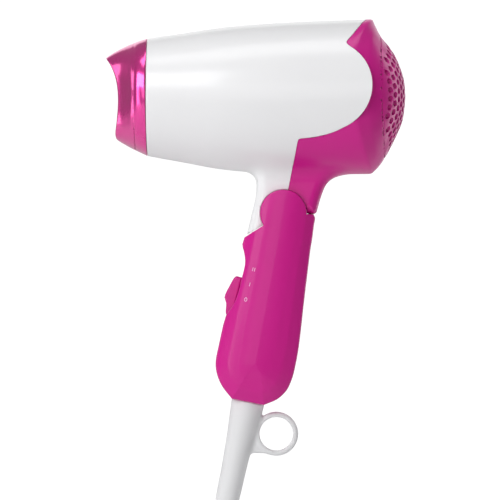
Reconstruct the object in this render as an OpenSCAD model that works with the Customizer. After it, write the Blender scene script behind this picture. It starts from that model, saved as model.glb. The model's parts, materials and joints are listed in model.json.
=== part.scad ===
// Folding hair dryer: round barrel, folding handle, pull-off nozzle, mains lead.
// The origin is the middle of the grip. The nozzle points to -X, +Z is up.

/* [Barrel] */
// Length of the barrel from its front edge to the rear rim
barrel_len = 116.7; // [112:0.5:150]
// Diameter of the barrel at its front edge
front_d = 61.2; // [58:0.2:74]
// Diameter of the barrel at its rear rim
rear_d = 80; // [78:0.5:100]
// How late the barrel narrows towards the front
barrel_swell = 2.6; // [2:0.1:3]
// Distance from the front edge back to the fold hinge
front_to_hinge = 70.2; // [66:0.2:76]
// Wall of the barrel
wall = 2; // [1.6:0.1:2.4]
// Radius of the round lobe of the white shell
lobe_r = 23.4; // [20:0.2:25]

/* [Neck and hinge] */
// Height of the barrel's underside above the hinge
neck_h = 20.3; // [19:0.1:26]
// Half width of the neck
neck_half_w = 13.4; // [12.5:0.1:14]
// Radius of the handle's round ears
ear_r = 12; // [11.4:0.1:12.6]
// Half distance between the inner faces of the ears
ear_gap_half = 12; // [11:0.1:12.4]
// Radius of the neck's tongue where it enters the handle
tongue_r = 22; // [20:0.1:22.4]
// Radius of the hollow hinge barrel
pivot_r = 6; // [5:0.1:6.5]
// Running clearance of the hinge barrel in the ears
pivot_clear = 0.06; // [0.02:0.01:0.1]
// Clearance between parts that pass each other
gap = 0.35; // [0.3:0.05:0.5]

/* [Handle] */
// Tilt of the handle from vertical, foot towards the nozzle
handle_tilt = 10.5; // [8:0.5:13]
// Distance from the hinge to the middle of the grip
grip_dist = 50; // [45:1:60]
// Length of the handle below the hinge
handle_len = 99.25; // [96:0.25:125]
// Half width of the handle across the ears
handle_half_w = 16.3; // [16:0.1:18]
// Radius of the handle's round foot, seen from the side
foot_r = 20.6; // [19.8:0.1:22]
// Wall of the handle
handle_wall = 2.2; // [1.8:0.1:2.4]

/* [Switch] */
// Tilt of the switch track from the handle's axis
track_tilt = 4.4; // [3.5:0.1:5]
// Distance below the hinge of the knob's middle when off
track_drop = 47; // [46.5:0.5:52]
// Distance from the handle's axis to the track's floor
track_depth = 15.1; // [14.7:0.1:15.4]
// Travel from off to the second speed
switch_travel = 16; // [10:0.5:16]
// Length of the knob
knob_len = 20.6; // [18:0.2:21]
// Width of the knob
knob_w = 11; // [9:0.2:12]

/* [Nozzle] */
// Length of the nozzle at its upper tip
nozzle_len = 21.9; // [20:0.1:27]
// Height of the outlet slot
slot_h = 42.6; // [36:0.2:46]
// Outside width of the outlet slot
slot_w = 16; // [14:0.2:22]
// Wall of the nozzle
nozzle_wall = 1.8; // [1.4:0.1:2]
// Length of the collar that the nozzle slides over
collar_len = 6; // [5:0.1:7]

/* [Fan and motor] */
// Radius of the fan's blade tips
fan_r = 32.6; // [30:0.1:33]
// Number of fan blades
blades = 9; // [5:1:11]
// Radius of the motor
motor_r = 14; // [12:0.2:15]
// Length of the motor
motor_len = 24; // [20:0.5:24]
// Radius of the motor's shaft
shaft_r = 1; // [0.8:0.1:1.2]
// Running clearance of the shaft in its bearings
shaft_clear = 0.05; // [0.02:0.01:0.08]

/* [Heater] */
// Outer radius of the heater's sleeve
sleeve_r = 26.8; // [26.6:0.1:27]
// Thickness of the sheet in the heater
mica = 0.8; // [0.5:0.1:1]
// Turns of heating wire
coil_turns = 9; // [5:1:10]

/* [Inlet grille] */
// Radius of the grille's dome
dome_r = 44; // [42:0.5:50]
// Radius of the round opening that the grille fills
grille_r = 31.6; // [30:0.1:32]
// Radius of one grille hole
hole_r = 1.7; // [1:0.1:1.9]

/* [Strain relief] */
// Length of the strain relief below the handle
relief_len = 60; // [52:1:60]
// Radius of the strain relief at its top
relief_r = 8.5; // [8:0.1:9]
// Tilt of the strain relief from the handle's axis
relief_tilt = 1.5; // [0:0.5:3]
// Radius of the hole in the hanging ring
ring_hole_r = 8.7; // [7:0.1:9]
// Width of the hanging ring's rim
ring_rim = 2.7; // [2:0.1:3.2]
// Thickness of the hanging ring
ring_t = 4.4; // [3:0.1:6]

/* [Mains lead] */
// Diameter of the lead
cord_d = 7; // [6:0.1:7.4]
// Radius of the plug's pins
pin_r = 2.4; // [2.4:0.05:2.45]
// Distance between the plug's pins
pin_pitch = 19; // [19:0.1:19.2]
// Length of the plug's pins
pin_len = 19; // [18.5:0.1:19.5]

/* [Hidden] */
$fn = 48;
rear_r = rear_d / 2;
front_r = front_d / 2;
axis_h = neck_h + rear_r;
rim_x = barrel_len - front_to_hinge;
front_x = -front_to_hinge;
profile_steps = 14;

flange_t = 2;
collar_wall = 1.8;
nozzle_gap = 0.3;
collar_r = front_r - nozzle_wall - nozzle_gap - 1;
collar_in_r = collar_r - collar_wall;
skirt_r = collar_r + nozzle_gap;
outlet_t = 3;
scoop_r = 62;
scoop_depth = 7;
scoop_drop = 8;

rim_len = 4.2;
duct_rear_x = rim_x - 2.5;
duct_x = rim_x - 44.5;
duct_r = fan_r + 1;
duct_wall = 1.4;
motor_x = duct_x + 1;
fan_x = motor_x + motor_len + 3;
fan_len = 11;
hub_r = 13;
dome_x = rim_x + rim_len - sqrt(dome_r * dome_r - grille_r * grille_r);
dome_wall = 1.8;
hole_rings = 5;
hole_step = 7.2;

recess_r = ear_r + gap;
tongue_half = ear_gap_half - gap;
neck_hollow_half = 9.5;
tongue_lag = 1.8;
shoulder_dir = 212;
cheek_half = handle_half_w - handle_wall;
sweep_r = tongue_r + 0.6;
ear_skin = 1.3;
pivot_half = handle_half_w - ear_skin - gap;
pivot_bore_r = 4.2;
leads_window = 7;

floor_t = 1.6;
stem_half_w = 1.9;
stem_len = 8;
knob_rise = 6.7;
switch_box = [9, 12, 31.2];
switch_box_z = -7.6;
switch_wall = 1.2;
carriage = [6, 8.8, 12];

screw_r = 1.25;
screw_head_r = 2.6;
screw_head_t = 1.8;
screw_fit = 0.05;
post_r = 3.2;
foot_z = -handle_len + 18.8;
shell_screws = [[11, -34], [12.5, foot_z + 4.45], [-13, foot_z + 0.45]];
screw_len = 13;

clamp_z = -handle_len + 11;
clamp_half = 11;
clamp_post_x = 8;
neck_screw_y = 6;
neck_screw_z = 14;

cord_r = cord_d / 2;
lead_r = 0.9;
relief_bend = handle_tilt + relief_tilt;
grommet_r = 6;
ring_x = relief_r + ring_hole_r + 0.6;
ring_drop = 13.6;
relief_end_r = 5.4;

// The lead leaves the strain relief and drops into a hank that hangs below.
hank_x = -6.5;
hank_top = -198;
hank_run = 92;
hank_turn_r = 21.5;
hank_layer = 7.3;
hank_turns = 4;
hank_half_y = (hank_layer * hank_turns + cord_d) / 2;
hank_mid = hank_top - hank_run / 2;
tie_t = 1.2;
tie_w = 12;
lead_x = hank_x - hank_turn_r;
lead_y = hank_layer * hank_turns / 2;
plug_top = -317;
plug_neck = 14;
plug_len = 26;
relief_top = at_relief_end(0);
relief_foot = at_relief_end(relief_len);

route_down = [
    relief_foot,
    relief_foot + 7 * [-sin(relief_bend), 0, -cos(relief_bend)],
    relief_foot + 14 * [-sin(relief_bend), 0, -cos(relief_bend)],
    [-26, -0.4, -128], [-27, -1.6, -135], [-27.6, -3.4, -142], [-27.9, -5.8, -149],
    [-28, -8.4, -156], [-28, -10.9, -163], [-28, -12.9, -170], [-28, -14.1, -177],
    [-28, -14.6, -184], [-28, -14.6, -191]
];
route_out = [
    [-28, 14.6, -292], [-28, 14.6, -299], [-28, 14.6, -306], [-28, 14.6, -312], [-28, 14.6, -317]
];

function barrel_r(x) =
    rear_r - (rear_r - front_r) * pow(max(0, rim_x - x) / barrel_len, barrel_swell);

// Point on the strain relief's axis, a given distance below the handle
function at_relief_end(d) = [
    grip_dist * sin(handle_tilt) - handle_len * sin(handle_tilt) - d * sin(relief_bend),
    0,
    grip_dist * cos(handle_tilt) - handle_len * cos(handle_tilt) - d * cos(relief_bend)
];

// ---- Frames ----
module at_hinge() { translate([grip_dist * sin(handle_tilt), 0, grip_dist * cos(handle_tilt)]) children(); }
// Local z runs backwards along the barrel's axis, measured from the hinge
module at_axis() { at_hinge() translate([0, 0, axis_h]) rotate([0, 90, 0]) children(); }
module at_handle() { at_hinge() rotate([0, handle_tilt, 0]) children(); }
// Origin on the track's floor under the knob, local z up the track, -x out
module at_track() {
    at_handle() translate([-track_depth, 0, -track_drop]) rotate([0, track_tilt, 0]) children();
}
module at_relief() { translate(relief_top) rotate([0, relief_bend, 0]) children(); }

// ---- Helpers ----
// Side outline in X and Z, thickened along Y
module slab(y0, y1) {
    translate([0, y1, 0]) rotate([90, 0, 0]) linear_extrude(y1 - y0) children();
}
module tube(r_out, r_in, z0, z1) {
    translate([0, 0, z0]) difference() {
        cylinder(r = r_out, h = z1 - z0);
        translate([0, 0, -1]) cylinder(r = r_in, h = z1 - z0 + 2);
    }
}
module rod(r, z0, z1) { translate([0, 0, z0]) cylinder(r = r, h = z1 - z0); }
// Cylinder along Y at a point of the side view
module pin_y(x, z, r, y0, y1) {
    translate([x, y1, z]) rotate([90, 0, 0]) cylinder(r = r, h = y1 - y0);
}
module barrel_solid(inset, x0, x1) {
    rotate_extrude() polygon(concat(
        [[0, x0]],
        [for (i = [0:profile_steps])
            let (x = x0 + (x1 - x0) * i / profile_steps) [barrel_r(x) - inset, x]],
        [[0, x1]]));
}
module screw(len) {
    cylinder(r = screw_head_r, h = screw_head_t);
    translate([0, 0, -len]) cylinder(r = screw_r, h = len);
}
// Round tube swept along a route whose turns lie mainly in the side view
module sweep(path, r, sides) {
    n = len(path);
    dirs = [for (i = [0:n - 1])
        let (d = path[min(i + 1, n - 1)] - path[max(i - 1, 0)]) d / norm(d)];
    rings = [for (i = [0:n - 1])
        let (u = cross([0, 1, 0], dirs[i]), a = u / norm(u), b = cross(dirs[i], a))
        for (k = [0:sides - 1])
            path[i] + r * (cos(360 * k / sides) * a + sin(360 * k / sides) * b)];
    polyhedron(points = rings, faces = concat(
        [[for (k = [0:sides - 1]) k]],
        [for (i = [0:n - 2]) for (k = [0:sides - 1])
            let (j = (k + 1) % sides)
            each [[i * sides + k, (i + 1) * sides + j, i * sides + j],
                  [i * sides + k, (i + 1) * sides + k, (i + 1) * sides + j]]],
        [[for (k = [sides - 1:-1:0]) (n - 1) * sides + k]]));
}

// ---- Head: side outlines, measured from the hinge ----
module neck_outline() {
    top = axis_h - 15;
    polygon([
        [-30, top], [-30, neck_h + 3], [-25.6, neck_h + 1.5], [-18.4, neck_h - 0.5],
        [-15.1, neck_h - 3.5], [-14, neck_h - 7.8], [-15.6, 3],
        tongue_r * [cos(shoulder_dir - tongue_lag), sin(shoulder_dir - tongue_lag)],
        (ear_r - 1) * [cos(shoulder_dir - tongue_lag), sin(shoulder_dir - tongue_lag)],
        [0, -0.2], [16.3, -0.15], [17.4, 1], [19.2, 7.2], [21.3, neck_h - 7.5],
        [26.6, neck_h - 2.2], [36.6, neck_h + 0.1], [36.6, top]
    ]);
    circle(ear_r);
}
module neck_hollow_outline() {
    top = axis_h - 15;
    polygon([
        [-13, top], [-13, neck_h - 3], [-11.9, neck_h - 7.8], [-12, 3], [-10, -4], [10, -4],
        [15.2, 2.2], [17, 7.2], [19, neck_h - 6], [22, neck_h], [22, top]
    ]);
    circle(ear_r - 2);
}
// Everything behind the seam between the white and the coloured shell
module rear_outline() {
    lobe_x = rim_x - 25.2;
    lobe_z = axis_h + 4.4;
    polygon(concat(
        [[rim_x + 60, -30], [rim_x + 60, axis_h + rear_r + 20],
         [rim_x + 1.1, axis_h + rear_r + 5], [rim_x - 3.1, axis_h + rear_r + 0.7],
         [rim_x - 14.5, axis_h + 26.7]],
        [for (a = [56:-12.4:-68]) [lobe_x + lobe_r * cos(a), lobe_z + lobe_r * sin(a)]],
        [[lobe_x + 0.3, axis_h - 20.8], [15, axis_h - 22.1], [8.4, axis_h - 22.8],
         [7.1, axis_h - 24.3], [-4.8, -26], [-4.8, -30]]));
}
module head_shell() {
    difference() {
        union() {
            at_axis() barrel_solid(0, front_x, rim_x);
            at_hinge() slab(-neck_half_w, neck_half_w) neck_outline();
        }
        at_axis() barrel_solid(wall, front_x + flange_t, rim_x + 1);
        at_axis() rod(collar_in_r, front_x - 1, front_x + flange_t + 1);
        at_hinge() slab(-neck_hollow_half, neck_hollow_half) neck_hollow_outline();
        at_hinge() for (s = [-1, 1]) {
            pin_y(0, 0, recess_r, s > 0 ? tongue_half : -20, s > 0 ? 20 : -tongue_half);
            pin_y(0, 0, pivot_r, s > 0 ? 5 : -15, s > 0 ? 15 : -5);
        }
        at_hinge() pin_y(0, -9, 1.5 + screw_fit, -tongue_half - 1, tongue_half + 1);
    }
}
module neck_post(x0, x1) {
    at_hinge() for (s = [-1, 1]) translate([x0, s * neck_screw_y, neck_screw_z])
        rotate([0, 90, 0]) cylinder(r = 3, h = x1 - x0);
}
module neck_post_bore(r, x0, x1) {
    at_hinge() for (s = [-1, 1]) translate([x0, s * neck_screw_y, neck_screw_z])
        rotate([0, 90, 0]) cylinder(r = r, h = x1 - x0);
}

module front_housing() {
    color("whitesmoke") difference() {
        union() {
            head_shell();
            at_axis() tube(collar_r, collar_in_r, front_x - collar_len, front_x + flange_t);
            neck_post(-12.5, 6);
        }
        at_hinge() slab(-60, 60) rear_outline();
        neck_post_bore(screw_r + screw_fit, -9, 30);
    }
}
module rear_housing() {
    color("mediumvioletred") difference() {
        intersection() {
            union() {
                head_shell();
                neck_post(-5, 19);
                // Solid rim that the grille sits in and the fan duct stops against
                at_axis() rotate_extrude() polygon([
                    [grille_r, duct_rear_x], [barrel_r(duct_rear_x), duct_rear_x],
                    [rear_r, rim_x], [grille_r, rim_x + rim_len]]);
            }
            at_hinge() slab(-60, 60) rear_outline();
        }
        neck_post_bore(screw_r + screw_fit, -20, 40);
        neck_post_bore(screw_head_r + 0.1, 16, 40);
    }
}
module inlet_grille() {
    color("mediumvioletred") at_axis() difference() {
        union() {
            intersection() {
                translate([0, 0, dome_x]) difference() {
                    sphere(dome_r);
                    sphere(dome_r - dome_wall);
                }
                rod(grille_r, rim_x + 1, rim_x + 40);
            }
            tube(grille_r, grille_r - 2, duct_rear_x, rim_x + rim_len - 1.5);
        }
        translate([0, 0, dome_x]) {
            rod(hole_r, 30, dome_r + 2);
            for (ring = [1:hole_rings]) for (k = [0:ring * 6 - 1])
                rotate([0, 0, 60 * k / ring]) rotate([0, ring * hole_step, 0]) rod(hole_r, 30, dome_r + 2);
        }
    }
}
module slot_disc(x, half_h, half_w) {
    hull() for (s = [-1, 1]) translate([s * (half_h - half_w), 0, x]) cylinder(r = half_w, h = 0.2);
}
module nozzle() {
    seam = front_x - 0.2;
    tip = front_x - nozzle_len;
    slot_half = slot_h / 2;
    color("deeppink") at_axis() difference() {
        hull() {
            rod(front_r, seam - 0.2, seam);
            rod(front_r - 0.5, seam - 6, seam - 5.8);
            slot_disc(tip - 1, slot_half, slot_w / 2);
        }
        hull() {
            rod(skirt_r - 1.5, seam - collar_len - 0.4, seam - collar_len - 0.2);
            slot_disc(tip - 1.2, slot_half - nozzle_wall, slot_w / 2 - nozzle_wall);
        }
        rod(skirt_r, seam - collar_len - 0.3, seam + 1);
        translate([scoop_drop, 50, tip + scoop_depth - scoop_r]) rotate([90, 0, 0])
            cylinder(r = scoop_r, h = 100);
    }
}
module ring_2d(r, w) {
    difference() {
        circle(r);
        circle(r - w);
    }
}
module outlet_grille() {
    color("dimgray") at_axis() translate([0, 0, front_x - collar_len + 1.5]) linear_extrude(outlet_t) {
        ring_2d(collar_in_r, 2);
        ring_2d(9, 1.2);
        ring_2d(17, 1.2);
        circle(3);
        for (a = [0:60:300]) rotate(a) translate([2, -0.6]) square([collar_in_r - 3, 1.2]);
    }
}

// ---- Heater ----
heater_x0 = front_x + flange_t;
module heater_sleeve() {
    color("tan") at_axis() tube(sleeve_r, sleeve_r - mica, heater_x0, duct_x - 2);
}
module heater_frame() {
    half = sleeve_r - mica - 0.05;
    color("wheat") at_axis() for (a = [0, 90]) rotate([0, 0, a])
        translate([-half, -mica / 2, heater_x0 + 4]) cube([2 * half, mica, 54]);
}
module heating_coil() {
    color("silver") at_axis() {
        for (i = [0:coil_turns - 1]) translate([0, 0, heater_x0 + 9 + 5.4 * i])
            rotate_extrude() translate([22, 0]) circle(0.7);
        rotate([0, 0, 45]) translate([22, 0, 0])
            rod(0.7, heater_x0 + 9, heater_x0 + 9 + 5.4 * (coil_turns - 1));
    }
}
module thermostat() {
    color("gainsboro") at_axis() translate([mica / 2, 4, heater_x0 + 36]) cube([4, 8, 12]);
}
module thermal_fuse() {
    color("silver") at_axis() translate([-mica / 2 - 1.8, 10, 0]) rod(1.8, heater_x0 + 30, heater_x0 + 42);
}

// ---- Motor and fan ----
module motor_mount() {
    color("white") at_axis() {
        tube(duct_r + duct_wall, duct_r, duct_x - 2, duct_rear_x);
        tube(duct_r + 0.2, sleeve_r - 2, duct_x - 2, duct_x);
        tube(motor_r + 1.5, motor_r, motor_x + 1, motor_x + motor_len - 2);
        for (k = [0:6]) rotate([0, 0, 360 * k / 7])
            translate([motor_r + 0.8, -0.6, motor_x + 3]) cube([duct_r - motor_r, 1.2, 14]);
    }
}
module motor_can() {
    color("lightgray") at_axis() difference() {
        rod(motor_r, motor_x, motor_x + motor_len - 2);
        rod(motor_r - 1, motor_x + 1.2, motor_x + motor_len);
        rod(shaft_r + shaft_clear, motor_x - 1, motor_x + 2);
    }
}
module motor_end_cap() {
    color("dimgray") at_axis()
        tube(motor_r, shaft_r + shaft_clear, motor_x + motor_len - 2, motor_x + motor_len);
}
module motor_magnets() {
    color("dimgray") at_axis() intersection() {
        tube(motor_r - 1, motor_r - 3.2, motor_x + 3, motor_x + 19);
        for (s = [-1, 1]) translate([s * 20 - 15, -10, motor_x]) cube([30, 20, 25]);
    }
}
module armature() {
    color("peru") at_axis() {
        tube(motor_r - 4, shaft_r, motor_x + 6, motor_x + 18);
        tube(3.4, shaft_r, motor_x + 2, motor_x + 6);
    }
}
module motor_shaft() {
    color("silver") at_axis() rod(shaft_r, motor_x + 0.2, fan_x + fan_len + 1);
}
module fan_impeller() {
    color("dimgray") at_axis() difference() {
        union() {
            rod(hub_r, fan_x, fan_x + fan_len);
            intersection() {
                rod(fan_r, fan_x, fan_x + fan_len);
                for (k = [0:blades - 1]) rotate([0, 0, 360 * k / blades]) rotate([38, 0, 0])
                    translate([hub_r - 2, (fan_x + fan_len / 2) * sin(38) - 0.6,
                               (fan_x + fan_len / 2) * cos(38) - 9])
                    cube([fan_r, 1.2, 18]);
            }
        }
        rod(hub_r - 1.4, fan_x - 1, fan_x + fan_len - 6);
        rod(shaft_r, fan_x - 1, fan_x + fan_len + 1);
    }
}
module rectifier_board() {
    color("seagreen") at_axis() tube(11, 2, motor_x - 1.6, motor_x);
}
module rectifier_diodes() {
    color("dimgray") at_axis() for (a = [0:90:270]) rotate([0, 0, a + 45])
        translate([7, 2.6, motor_x - 3]) rotate([90, 0, 0]) cylinder(r = 1.4, h = 5.2);
}
module neck_screws() {
    color("silver") at_hinge() for (s = [-1, 1]) translate([16, s * neck_screw_y, neck_screw_z])
        rotate([0, 90, 0]) screw(24);
}

// ---- Hinge ----
module hinge_barrel() {
    color("lightgray") at_hinge() difference() {
        pin_y(0, 0, pivot_r, -pivot_half, pivot_half);
        pin_y(0, 0, pivot_bore_r, -pivot_half + 1.5, pivot_half - 1.5);
        translate([-3, -leads_window / 2, -8]) cube([6, leads_window, 16]);
    }
}
module detent_plunger() {
    color("silver") at_hinge() for (s = [-1, 1])
        translate([0, s > 0 ? tongue_half : -6, -9]) rotate([90, 0, 0])
            cylinder(r = 1.5, h = tongue_half - 6);
}
module detent_spring() {
    color("silver") at_hinge() translate([0, 6, -9]) rotate([90, 0, 0]) tube(1.4, 0.9, 0, 12);
}
module head_leads() {
    color("firebrick") at_hinge() for (s = [-1, 1]) sweep([
        [-1, 2 * s, 8], [-3, 2 * s, 11], [-5, 2 * s, neck_h - 4], [duct_x - 8.5, 2 * s, neck_h + 3],
        [duct_x - 10, 2 * s, neck_h + 7], [duct_x - 10, 2 * s, axis_h - sleeve_r - 0.5]], lead_r, 8);
}

// ---- Handle: side outlines in the handle's frame ----
module handle_outline() {
    dir = shoulder_dir + handle_tilt;
    intersection() {
        union() {
            polygon([
                [0, 0], (ear_r + 0.5) * [cos(dir), sin(dir)], 23.8 * [cos(dir), sin(dir)],
                [-17.9, -19], [-17.5, -21.6], [-15.5, -26], [-14.7, -30.4], [-15, -36.6],
                [-17.2, -track_drop], [-19.5, -track_drop - 10], [-20.1, -track_drop - 19],
                [-foot_r, foot_z], [foot_r, foot_z], [20.4, foot_z + 11], [18.8, -42.3], [17.3, -16.2],
                [16.8, -3.5], [16.7, 1.6], [16.2, 2.45],
                [ear_r + 0.6, (ear_r + 0.6) * tan(handle_tilt) - 0.56]
            ]);
            translate([0, foot_z]) circle(foot_r);
        }
        translate([-40, -handle_len]) square([80, handle_len + 20]);
    }
}
module handle_hollow_outline() {
    w = handle_wall;
    difference() {
        intersection() {
            union() {
                polygon([
                    [-12.8, -18], [-12.8, -31], [-14, -track_drop], [-14.8, -track_drop - 11.5],
                    [-17.7, -track_drop - 16.5], [-foot_r + w, foot_z], [foot_r - w, foot_z],
                    [20.4 - w, foot_z + 11], [18.8 - w, -42.3], [17.1 - w, -16.2], [17.1 - w, -10]]);
                translate([0, foot_z]) circle(foot_r - w);
            }
            translate([-40, -handle_len + w]) square([80, handle_len]);
        }
        // The plate behind the switch track stays solid
        translate([-track_depth, -track_drop]) rotate(-track_tilt)
            translate([-20, -knob_len / 2 - 4]) square([20 + floor_t, knob_len + switch_travel + 6]);
    }
    intersection() {
        circle(sweep_r);
        polygon([[-30, -30], [-30, 40], [14.9, 40], [14.9, -30]]);
    }
}
module handle_slice(z, depth, half_w, corner, inset) {
    for (x = [-depth + corner, depth - corner]) for (s = [-1, 1])
        translate([x, s * (half_w - corner), z]) cylinder(r = corner - inset, h = 0.1, $fn = 32);
}
module handle_bulk(inset) {
    hull() {
        handle_slice(3, 18, handle_half_w, 4, inset);
        handle_slice(-20, 18.4, handle_half_w, 4, inset);
        handle_slice(-60, 20.4, handle_half_w + 0.5, 11, inset);
        handle_slice(foot_z, foot_r + 0.1, handle_half_w + 0.5, 12, inset);
        handle_slice(foot_z - 14, 16.8, handle_half_w - 2.8, 11, inset);
        handle_slice(-handle_len, 10.5, 9.5, 9, inset);
    }
}
module handle_posts(y0, y1, r) {
    for (p = shell_screws) pin_y(p[0], p[1], r, y0, y1);
}
module handle_common() {
    difference() {
        union() {
            difference() {
                intersection() {
                    handle_bulk(0);
                    slab(-30, 30) handle_outline();
                }
                slab(-cheek_half, cheek_half) intersection() {
                    handle_hollow_outline();
                    translate([-40, -24]) square([80, 70]);
                }
                intersection() {
                    handle_bulk(handle_wall);
                    slab(-30, 30) handle_hollow_outline();
                }
            }
            for (s = [-1, 1])
                pin_y(0, 0, ear_r, s > 0 ? ear_gap_half : -handle_half_w,
                      s > 0 ? handle_half_w : -ear_gap_half);
        }
        pin_y(0, 0, pivot_r + pivot_clear, -handle_half_w + ear_skin, handle_half_w - ear_skin);
        rod(grommet_r, -handle_len - 1, -handle_len + handle_wall + 1);
        // Channel and slot of the switch
        translate([-track_depth, 0, -track_drop]) rotate([0, track_tilt, 0]) {
            translate([-12, -knob_w / 2 - gap, -knob_len / 2 - gap])
                cube([12, knob_w + 2 * gap, knob_len + switch_travel + 2 * gap]);
            translate([-1, -stem_half_w - gap, -stem_len / 2 - gap])
                cube([floor_t + 2, 2 * (stem_half_w + gap), stem_len + switch_travel + 2 * gap]);
        }
    }
}
module handle_left() {
    color("mediumvioletred") at_handle() difference() {
        union() {
            intersection() {
                handle_common();
                translate([-60, -40, -150]) cube([120, 40, 200]);
            }
            handle_posts(-cheek_half - 1, 0, post_r);
            for (s = [-1, 1]) pin_y(s * clamp_post_x, clamp_z, 2.4, -cheek_half + 0.6, cord_r);
        }
        handle_posts(-11, 1, screw_r + screw_fit);
        for (s = [-1, 1]) pin_y(s * clamp_post_x, clamp_z, screw_r + screw_fit, -6, 6);
    }
}
module handle_right() {
    color("mediumvioletred") at_handle() difference() {
        union() {
            intersection() {
                handle_common();
                translate([-60, 0, -150]) cube([120, 40, 200]);
            }
            handle_posts(0, cheek_half + 1, post_r);
        }
        handle_posts(-1, 30, screw_r + screw_fit);
        handle_posts(4, 30, screw_head_r + 0.1);
    }
}
module handle_screws() {
    color("silver") at_handle() for (p = shell_screws)
        translate([p[0], 4, p[1]]) rotate([-90, 0, 0]) screw(screw_len);
}

// ---- Switch ----
module switch_housing() {
    s = switch_box;
    color("ivory") at_track() difference() {
        translate([floor_t, -s[1] / 2, switch_box_z]) cube([s[0], s[1], s[2]]);
        translate([floor_t - 1, -s[1] / 2 + switch_wall, switch_box_z + switch_wall])
            cube([s[0] - switch_wall + 1, s[1] - 2 * switch_wall, s[2] - 2 * switch_wall]);
    }
}
module switch_terminals() {
    color("goldenrod") at_track() for (z = [-2, 8, 18])
        translate([floor_t + switch_box[0], -2.4, z - 0.4]) cube([5.5, 4.8, 0.8]);
}
module switch_carriage() {
    color("dimgray") at_track() {
        translate([floor_t + gap, -carriage[1] / 2, -carriage[2] / 2]) cube(carriage);
        translate([-gap, -stem_half_w, -stem_len / 2]) cube([floor_t + 3 * gap, 2 * stem_half_w, stem_len]);
    }
}
module switch_knob() {
    h = knob_len / 2;
    color("mediumvioletred") at_track() slab(-knob_w / 2, knob_w / 2) polygon([
        [-gap, -h], [-3.9, -h], [-5, -h / 2], [-knob_rise, -h / 5], [-6.5, h / 8],
        [-4.6, h - 1.6], [-3.6, h], [-gap, h]]);
}
module suppressor_capacitor() {
    color("khaki") at_handle() translate([-7, -cheek_half, -74]) cube([13, 6, 10]);
}
module handle_leads() {
    top = -handle_len + 19.25;
    color("firebrick") at_handle() {
        sweep([[0, -1.5, top], [1, -1.8, top + 4], [5, -3, -70], [5.6, -3, -60], [4.5, -2.4, -53],
            [1.4, -1.5, -50.2]], lead_r, 8);
        sweep([[0, 1.5, top], [1.5, 1.8, top + 4], [6, 3, -68], [6.4, 3, -50], [5.2, 2.4, -35],
            [3, 1.5, -30.6]], lead_r, 8);
        sweep([[2.2, 0, -40.4], [4, 0, -38], [5.4, 0, -33], [5, 0, -26.5]], lead_r, 8);
    }
}

// ---- Cord entry ----
module cord_stub() {
    color("white") at_handle() rod(cord_r, -handle_len + handle_wall + 2.5, -handle_len + 18);
}
module cord_clamp() {
    color("ivory") at_handle() difference() {
        translate([-clamp_half, cord_r, clamp_z - 2.6]) cube([2 * clamp_half, 3, 5.2]);
        for (s = [-1, 1]) pin_y(s * clamp_post_x, clamp_z, screw_r + screw_fit, 0, 10);
    }
}
module clamp_screws() {
    color("silver") at_handle() for (s = [-1, 1])
        translate([s * clamp_post_x, cord_r + 3, clamp_z]) rotate([-90, 0, 0]) screw(8);
}
module strain_relief() {
    l = relief_len;
    color("whitesmoke") {
        at_handle() {
            rod(grommet_r, -handle_len, -handle_len + handle_wall);
            rod(grommet_r + 1.8, -handle_len + handle_wall, -handle_len + handle_wall + 2.5);
            rod(relief_r + 0.2, -handle_len - 1.2, -handle_len);
        }
        at_relief() difference() {
            union() {
                rotate_extrude() polygon([
                    [0, -0.3], [relief_r, -0.3], [relief_r - 0.2, -6], [7.5, -16], [6.9, -26],
                    [6.5, -36], [6.2, 10 - l], [relief_end_r, -l], [0, -l]]);
                pin_y(ring_x, -ring_drop, ring_hole_r + ring_rim, -ring_t / 2, ring_t / 2);
                slab(-ring_t / 2, ring_t / 2) polygon([
                    [0, -5.5], [8, -6.2], [ring_x - 4, -ring_drop + ring_hole_r + 0.3],
                    [ring_x, -ring_drop - ring_hole_r - ring_rim / 2], [6, -24.2], [0, -24.2]]);
            }
            pin_y(ring_x, -ring_drop, ring_hole_r, -20, 20);
        }
    }
}

// ---- Lead, hank and plug ----
module power_cord() { color("whitesmoke") sweep(route_down, cord_r, 10); }
module cord_end() { color("whitesmoke") sweep(route_out, cord_r, 10); }
module hank_outline(r) {
    for (z = [hank_top, hank_top - hank_run]) translate([hank_x, z]) circle(r);
    translate([hank_x - r, hank_top - hank_run]) square([2 * r, hank_run]);
}
module cord_hank() {
    color("whitesmoke") slab(-hank_half_y, hank_half_y) difference() {
        hank_outline(hank_turn_r + cord_r);
        hank_outline(hank_turn_r - cord_r);
    }
}
module cord_tie() {
    x = hank_turn_r + cord_r;
    color("dimgray") translate([hank_x, 0, hank_mid - tie_w / 2]) difference() {
        translate([-x - tie_t, -hank_half_y - tie_t, 0])
            cube([2 * (x + tie_t), 2 * (hank_half_y + tie_t), tie_w]);
        translate([-x, -hank_half_y, -1]) cube([2 * x, 2 * hank_half_y, tie_w + 2]);
    }
}
module plug_body() {
    color("whitesmoke") translate([lead_x, lead_y, plug_top]) {
        rotate_extrude() polygon([[0, 0], [5, 0], [6.4, -plug_neck], [0, -plug_neck]]);
        translate([0, 0, -plug_neck - plug_len]) linear_extrude(plug_len) {
            for (s = [-1, 1]) translate([s * 6, 0]) circle(12);
            translate([-6, -12]) square([12, 24]);
        }
    }
}
module plug_pins() {
    color("silver") translate([lead_x, lead_y, plug_top - plug_neck - plug_len]) for (s = [-1, 1])
        translate([s * pin_pitch / 2, 0, 0]) {
            rod(pin_r, -pin_len + 1.2, 0);
            translate([0, 0, -pin_len]) cylinder(r1 = pin_r - 0.8, r2 = pin_r, h = 1.2);
        }
}

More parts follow.
